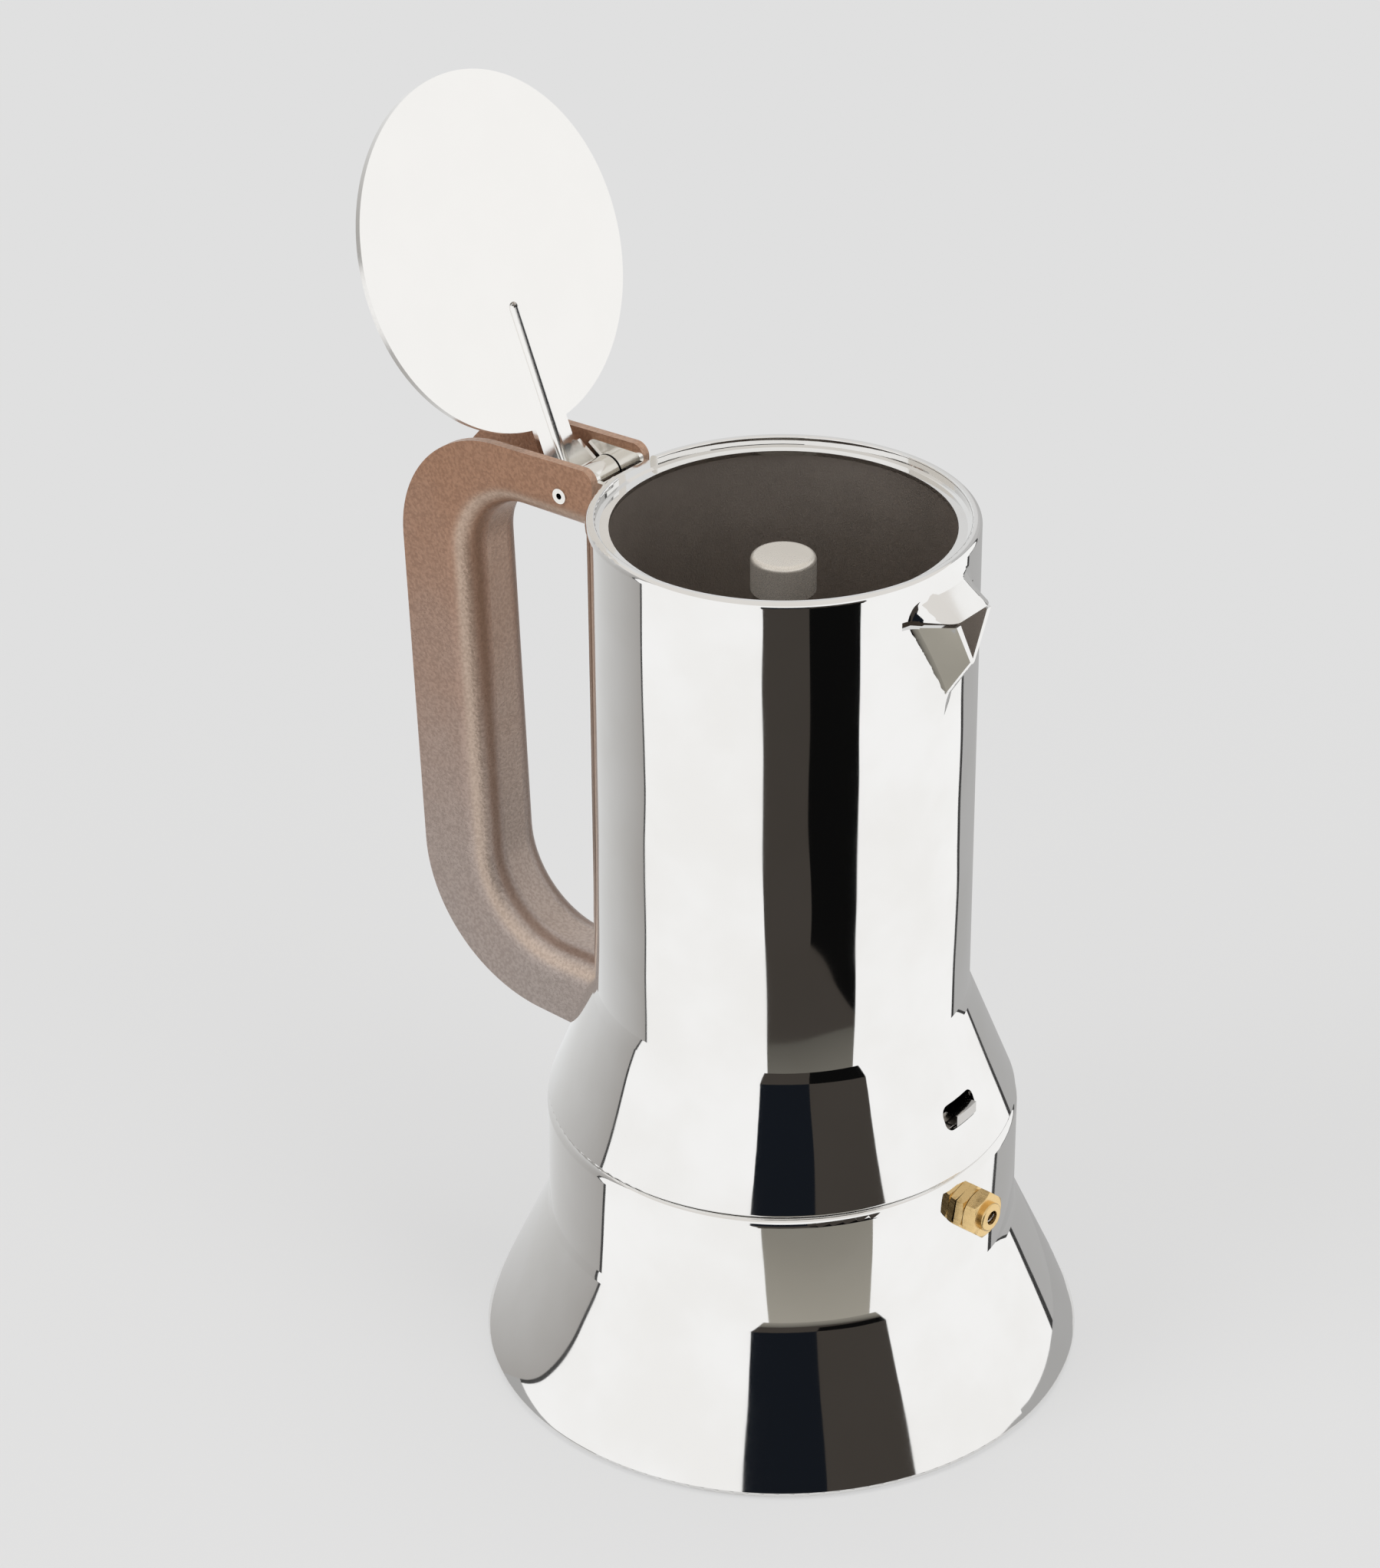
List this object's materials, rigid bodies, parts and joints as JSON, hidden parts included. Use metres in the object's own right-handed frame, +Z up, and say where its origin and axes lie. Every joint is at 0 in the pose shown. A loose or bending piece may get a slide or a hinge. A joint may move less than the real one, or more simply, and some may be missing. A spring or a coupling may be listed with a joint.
{
  "type": "moka pot",
  "caption": "Stovetop coffee pot with a flared boiler, safety valve, funnel, tall collector with pressed spout, channel handle and a lid hinged in the handle.",
  "frame": {"origin": "centre of the base disc's underside, on the table", "axes": "+Z up along the pot's axis, +X towards the spout and the valve, handle at -X"},
  "size_m": [0.1654, 0.135, 0.2796],
  "materials": {
    "polished_steel": "mirror polished stainless steel",
    "satin_steel": "satin stainless steel",
    "plain_steel": "plain stainless sheet",
    "spring_steel": "drawn spring wire",
    "dark_steel": "dark stamped steel",
    "brass": "turned brass",
    "silicone": "pale silicone rubber",
    "handle_paint": "bronze brown satin paint with a fine pebble texture"
  },
  "bodies": {
    "boiler": {"boiler_shell": "polished_steel", "boiler_neck": "plain_steel", "boiler_base": "plain_steel", "valve_body": "brass", "valve_cap": "brass", "valve_washer": "silicone", "valve_nut": "brass", "valve_spring": "spring_steel"},
    "valve_plunger": {"valve_plunger": "brass"},
    "funnel": {"funnel": "plain_steel", "funnel_screen": "plain_steel"},
    "collector": {"collector_shell": "polished_steel", "collector_floor": "plain_steel", "coffee_column": "plain_steel", "column_cap": "satin_steel", "gasket": "silicone", "filter_plate": "plain_steel", "lock_ring": "spring_steel", "ring_clips": "plain_steel", "latch_guide": "plain_steel", "handle": "handle_paint", "hinge_bracket": "satin_steel", "hinge_pin": "satin_steel", "handle_lug": "plain_steel", "handle_screw": "plain_steel"},
    "latch_tongue": {"latch_tongue": "dark_steel"},
    "lid": {"lid": "satin_steel", "lid_barrel": "satin_steel"}
  },
  "joints": [
    {"name": "collector_lift", "type": "slide", "parent": "boiler", "child": "collector", "axis": [0, 0, 1], "range_m": [0, 0.15], "deforming": ["lock_ring"]},
    {"name": "funnel_lift", "type": "slide", "parent": "boiler", "child": "funnel", "axis": [0, 0, 1], "range_m": [0, 0.075]},
    {"name": "lid_hinge", "type": "hinge", "parent": "collector", "child": "lid", "pos_m": [-0.0523, 0, 0.197], "axis": [0, -1, 0], "range_deg": [-111.7, 0]},
    {"name": "latch_press", "type": "slide", "parent": "collector", "child": "latch_tongue", "axis": [-0.9994, -0.0349, 0], "range_m": [0, 0.0015], "stiffness_N_per_m": 600, "springref_m": -0.0005, "deforming": ["lock_ring"]},
    {"name": "valve_lift", "type": "slide", "parent": "boiler", "child": "valve_plunger", "axis": [0.999, -0.0447, 0], "range_m": [0, 0.001], "stiffness_N_per_m": 800, "springref_m": -0.0025, "deforming": ["valve_spring"]}
  ],
  "couplings": [
    {"joint": "funnel_lift", "follows": "collector_lift", "ratio": 0.5}
  ]
}
